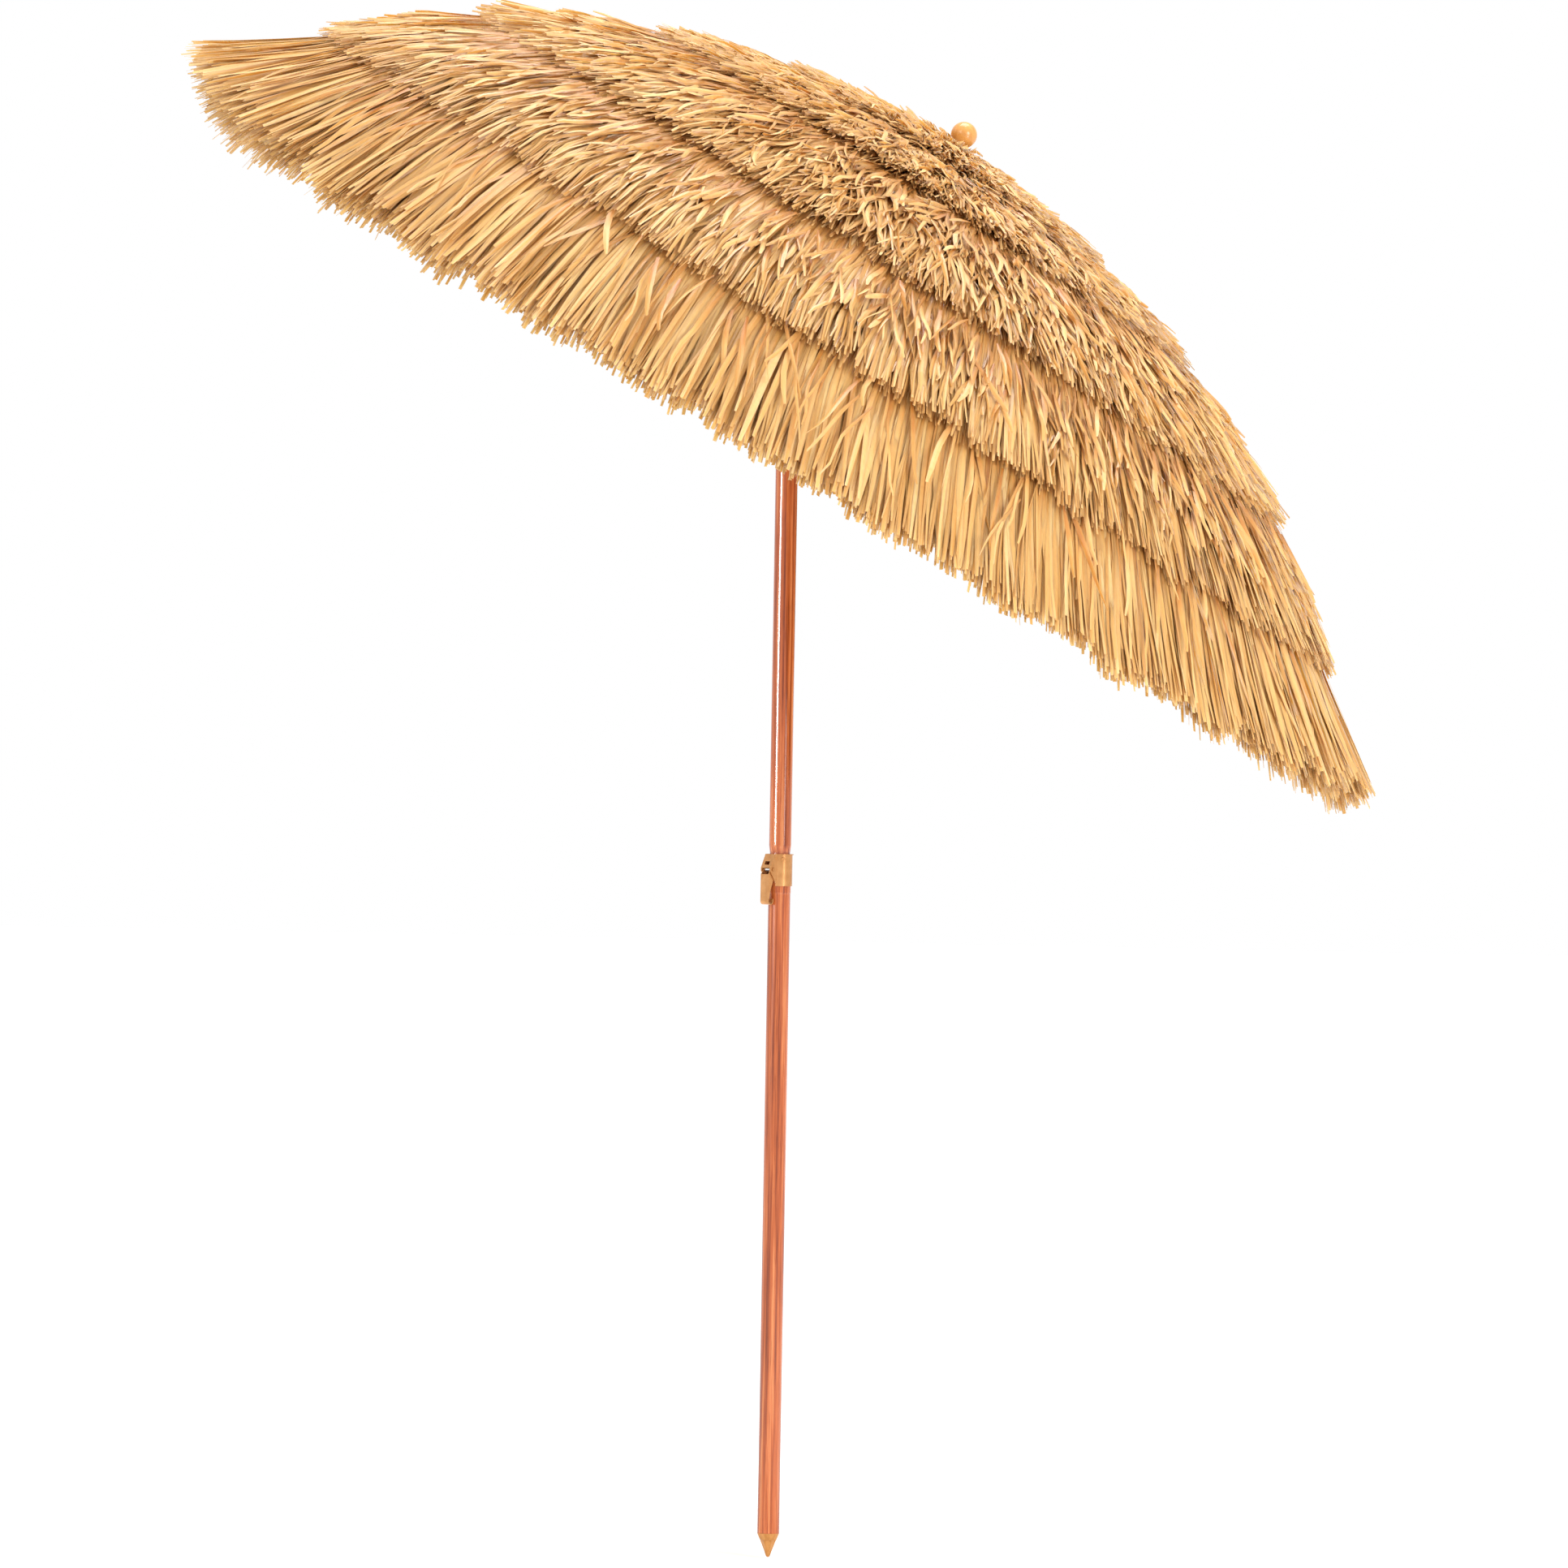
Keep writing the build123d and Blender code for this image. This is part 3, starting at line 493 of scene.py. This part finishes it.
def ribbon_strips(seed, count, roots, edge, run, width, lift, droop, mess, clump, middle, spread):
    """Raffia ribbons as flat strips of three-sided section: their points, and the UV of each point.
    With t from 0 to 1 a ribbon lies root + t * span down the lining, where span is its run, cut short at
    the ring's edge, which wavers by about a centimetre. Its direction is the lining's downhill tangent T
    blended with gravity G, d = unit((1 - w) T + w G + mess), where w is droop times smoothstep(t)^0.6,
    times 0.3 over the cloth and up to 1 past its end, and G has no part into the cloth while there is
    cloth under it. Its path is its root plus the sum of d, raised along the normal by 6.2 mm and by
    depth * (low + (high - low) * t^power). In the plane of the lean that rise is up to 0.7 less, and the
    outermost ribbons stay straight. Ribbons of one bunch lean toward the bunch's middle."""
    rng = np.random.default_rng(seed)
    steps = 7
    t = np.linspace(0, 1, steps)[None, :]
    phi = middle + rng.uniform(-spread, spread, (count, 1))
    depth = rng.uniform(0, 1, (count, 1)) ** 0.8
    root = length_at(rng.uniform(*roots, (count, 1)))
    cut = 1 - run[1] * rng.beta(1.1, run[2], (count, 1))
    ragged = 0.006 * np.sin(31 * phi + seed) + 0.005 * np.sin(57 * phi + 2 * seed)
    ragged = ragged * (1 + 1.5 * np.cos(phi) ** 2)
    end = edge + ragged + mess[5] * (depth - 0.6) * np.sin(phi) ** 2
    span = np.minimum(run[0] * cut, (end - root) * (1 - 0.6 * (1 - cut)))
    length = root + span * t
    over_cloth = over_rib(phi, length, 0.0)
    over_cloth_up = over_rib(phi, length, 1.0) - over_cloth
    tangent = np.gradient(over_cloth, axis=1)
    tangent /= np.linalg.norm(tangent, axis=-1, keepdims=True)
    sideways = np.cross(over_cloth_up, tangent)
    free = np.clip((length - outer_length + 0.02) / 0.10, 0, 1)[..., None]
    free = free * free * (3 - 2 * free)
    gravity = np.array([math.sin(lean), 0.0, -math.cos(lean)])
    into = np.minimum((over_cloth_up @ gravity)[..., None], 0)
    pull = gravity - (1 - free) * into * over_cloth_up
    in_profile = np.cos(phi)[..., None] ** 6
    eased = (t * t * (3 - 2 * t))[..., None]
    weight = droop * (1 - 0.95 * in_profile * depth[..., None]) + 0.06 * rng.normal(0, 1, (count, 1, 1))
    weight = np.clip(weight * (0.30 + 0.70 * free) * eased**0.6, 0, 0.7)
    ring = root + span * 0.5
    bunch = 0.034 + 0.008 * np.sin(9 * phi + seed)
    home = np.round(phi * ring / bunch + 0.25 * rng.normal(0, 1, (count, 1))) * bunch / ring
    gather = clump * rng.uniform(0, 1.4, (count, 1)) * (home - phi) * ring / span
    wander = mess[0] * rng.normal(0, 1, (count, 1)) + 0.5 * mess[0] * np.sin(23 * phi + seed) + gather
    phase = rng.uniform(0, 2 * math.pi, (count, 2))
    turns = rng.uniform(0.5, 1.5, (count, 1)) * mess[3]
    curl_out = mess[1] * rng.uniform(0.2, 1, (count, 1)) * np.sin(2 * math.pi * turns * t + phase[:, :1])
    curl_side = mess[2] * rng.uniform(0.2, 1, (count, 1)) * np.sin(2 * math.pi * turns * t + phase[:, 1:])
    heading = (1 - weight) * tangent + weight * pull
    outward = curl_out * t + 0.12 * in_profile[..., 0] * depth * t
    heading = heading + (wander + curl_side * t)[..., None] * sideways + outward[..., None] * over_cloth_up
    heading /= np.linalg.norm(heading, axis=-1, keepdims=True)
    stride = (span / (steps - 1))[..., None]
    path = over_cloth[:, :1] + np.cumsum(heading * stride, axis=1) - heading[:, :1] * stride
    high = lift[0] + (lift[1] - lift[0]) * (1 - 0.7 * np.cos(phi) ** 2)
    height = 0.0062 + depth * (lift[0] + (high - lift[0]) * t ** lift[2])
    path = path + over_cloth_up * height[..., None]
    gap = np.hypot(np.hypot(path[..., 0], path[..., 1]) - arc_x, path[..., 2] - arc_z) - arc_r
    need = np.maximum(0.0058 + 0.5 * lift[0] * depth * t - gap, 0) * (1 - free[..., 0])
    path = path + over_cloth_up * need[..., None]
    ahead = np.gradient(path, axis=1)
    ahead /= np.linalg.norm(ahead, axis=-1, keepdims=True)
    wide = np.cross(over_cloth_up, ahead)
    wide /= np.linalg.norm(wide, axis=-1, keepdims=True)
    up = np.cross(ahead, wide)
    roll = (rng.normal(0, 0.28, (count, 1)) + rng.normal(0, mess[4], (count, 1)) * t)[..., None]
    across = wide * np.cos(roll) + up * np.sin(roll)
    above = np.cross(ahead, across)
    breadth = rng.uniform(*width, (count, 1)) * (0.55 + 0.45 * np.minimum(t * 3, 1)) * (1 - 0.55 * t**7)
    breadth = breadth[..., None]
    section = np.stack(
        [path + across * breadth / 2, path - across * breadth / 2, path + above * breadth * 0.09], 2
    )
    pick = np.broadcast_to(rng.uniform(0, 1, (count, 1, 1)), (count, steps, 3))
    along_it = np.broadcast_to(t[..., None], (count, steps, 3))
    return leaned(section), np.stack([pick, along_it], -1)


def raffia_piece(name, strips):
    """One mesh from groups of ribbon strips, each ribbon closed by its three sides and its two ends."""
    points = np.concatenate([group[0] for group in strips])
    uv = np.concatenate([group[1] for group in strips]).reshape(-1, 2)
    index = np.arange(points.size // 3).reshape(points.shape[:3])
    a, b = index, np.roll(index, -1, axis=2)
    quads = np.stack([a[:, :-1], b[:, :-1], b[:, 1:], a[:, 1:]], -1).reshape(-1, 4)
    triangles = np.concatenate([index[:, 0, ::-1], index[:, -1]])
    points = points.reshape(-1, 3)
    piece = mesh_piece(name, points, quads, triangles, uv[quads], uv[triangles], smooth=False)
    piece.data.materials.append(straw)
    return piece


# Each ring is a fringe of evenly cut ribbons under a fluff of shorter, curlier ones. A row gives the name
# and the radius at which the ring ends, then for each of the two: the ribbons in a sector, root radii,
# (longest run, share cut off, evenness of the cut), ribbon widths, (height at the root, at the tip, power),
# droop, (wander, curl outward, curl sideways, waves, twist, extra reach of the outermost) and bunching.
smooth, calm = (0.045, 0.04, 0.07, 0.8, 0.35, 0.04), (0.07, 0.05, 0.11, 0.9, 0.45, 0.0)
lively, frizzy = (0.2, 0.14, 0.26, 1.0, 0.9, 0.0), (0.3, 0.24, 0.4, 1.1, 1.1, 0.0)
wild = (0.42, 0.4, 0.6, 1.2, 1.3, 0.0)
fine, broad, wide = (0.0032, 0.0075), (0.0038, 0.009), (0.005, 0.0125)
skirts = [
    (
        "crown",
        0.256,
        (240, (0.032, 0.060), (0.3, 0.14, 1.5), fine, (0.006, 0.024, 0.8), 0.2, frizzy, 0.5),
        (340, (0.040, 0.200), (0.110, 0.50, 1.4), fine, (0.014, 0.030, 1.0), 0.2, wild, 0.2),
    ),
    (
        "second",
        0.434,
        (440, (0.180, 0.225), (0.3, 0.10, 1.6), fine, (0.004, 0.028, 1.5), 0.3, lively, 0.6),
        (460, (0.240, 0.385), (0.110, 0.50, 1.4), fine, (0.014, 0.028, 1.0), 0.3, wild, 0.3),
    ),
    (
        "third",
        0.661,
        (680, (0.350, 0.395), (0.4, 0.08, 1.8), broad, (0.004, 0.034, 1.8), 0.3, lively, 0.6),
        (480, (0.430, 0.565), (0.120, 0.50, 1.4), broad, (0.015, 0.032, 1.0), 0.3, frizzy, 0.4),
    ),
    (
        "fourth",
        0.831,
        (900, (0.560, 0.600), (0.4, 0.06, 2.0), broad, (0.004, 0.042, 1.8), 0.3, calm, 0.6),
        (360, (0.660, 0.740), (0.110, 0.45, 1.5), broad, (0.018, 0.038, 1.0), 0.3, lively, 0.4),
    ),
    (
        "bottom",
        0.980,
        (1500, (0.690, 0.735), (0.5, 0.14, 1.5), wide, (0.003, 0.036, 1.8), 0.42, smooth, 0.6),
        (40, (0.760, 0.860), (0.200, 0.45, 1.5), broad, (0.012, 0.040, 1.5), 0.35, lively, 0.5),
    ),
]
for n in rib_numbers:
    hung = []
    for k, (name, edge_r, *groups) in enumerate(skirts):
        place = (rib_azimuth(n), half)
        edge = length_at(edge_r)
        strips = [
            ribbon_strips(100 * n + 10 * k + m, count, roots, edge, *facts, *place)
            for m, (count, roots, *facts) in enumerate(groups)
        ]
        piece = raffia_piece(f"{name}_skirt_{n}", strips)
        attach(piece, f"rib_{n}")
        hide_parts(f"thatch_skirt_{n}")
        hung.append(piece)
    for piece in [linings[n], *hung]:
        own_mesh(piece)

# A loose tuft round the finial hides the crown's hub and hinges.
tuft_facts = ((0.085, 0.6, 1.6), fine, (0.018, 0.032, 1.0), 0.1, wild, 0.2)
tuft_strips = ribbon_strips(7, 700, (0.020, 0.06), length_at(0.112), *tuft_facts, 0.0, math.pi)
tuft = raffia_piece("top_tuft", [tuft_strips])
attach(tuft, "mast")
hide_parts("thatch_top_cap")


# --- Studio ---
# A white seamless floor and sky, three large soft lights, and two tall strip lights that show only in
# reflections, such as those down the poles.
ground_z, floor_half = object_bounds()[0][2] - 0.002, 30.0
corners = np.array([[-1, -1, 0], [1, -1, 0], [1, 1, 0], [-1, 1, 0]]) * floor_half + [0, 0, ground_z]
floor = mesh_piece("floor", corners, np.array([[0, 1, 2, 3]]))
paper, shader, add, join = new_material("white_floor")
shader.inputs["Base Color"].default_value = (1, 1, 1, 1)
shader.inputs["Roughness"].default_value = 1.0
shader.inputs["Emission Color"].default_value = (1, 1, 1, 1)
shader.inputs["Emission Strength"].default_value = 0.12
floor.data.materials.append(paper)
world = bpy.data.worlds.new("studio")
world.use_nodes = True
world.node_tree.nodes["Background"].inputs["Color"].default_value = (1, 1, 1, 1)
world.node_tree.nodes["Background"].inputs["Strength"].default_value = 1.0
bpy.context.scene.world = world


def softbox(name, place, aim, size, watts):
    """A rectangular area light at a place, facing a point."""
    light = bpy.data.objects.new(name, bpy.data.lights.new(name, "AREA"))
    light.data.shape = "RECTANGLE"
    light.data.size, light.data.size_y = size
    light.data.energy = watts
    bpy.context.scene.collection.objects.link(light)
    light.location = place
    towards = np.array(aim) - np.array(place)
    yaw = math.atan2(towards[1], towards[0]) - math.pi / 2
    pitch = math.pi / 2 + math.atan2(towards[2], math.hypot(towards[0], towards[1]))
    light.rotation_euler = (pitch, 0, yaw)
    return light


softbox("key", (-2.6, -5.0, 4.6), (0.2, 0, 1.7), (2.2, 2.2), 38)
softbox("fill", (4.2, -4.2, 3.2), (0.2, 0, 1.6), (2.4, 2.4), 160)
softbox("top", (0.4, 0.6, 5.6), (0.1, 0, 1.8), (2.6, 2.6), 150)
for name, place, size, watts in [
    ("strip_left", (-2.3, -1.95, 1.32), (0.7, 0.76), 90),
    ("strip_right", (2.1, -2.1, 1.32), (0.4, 0.76), 9),
]:
    strip = softbox(name, place, (0, 0, 1.32), size, watts)
    strip.visible_diffuse = False
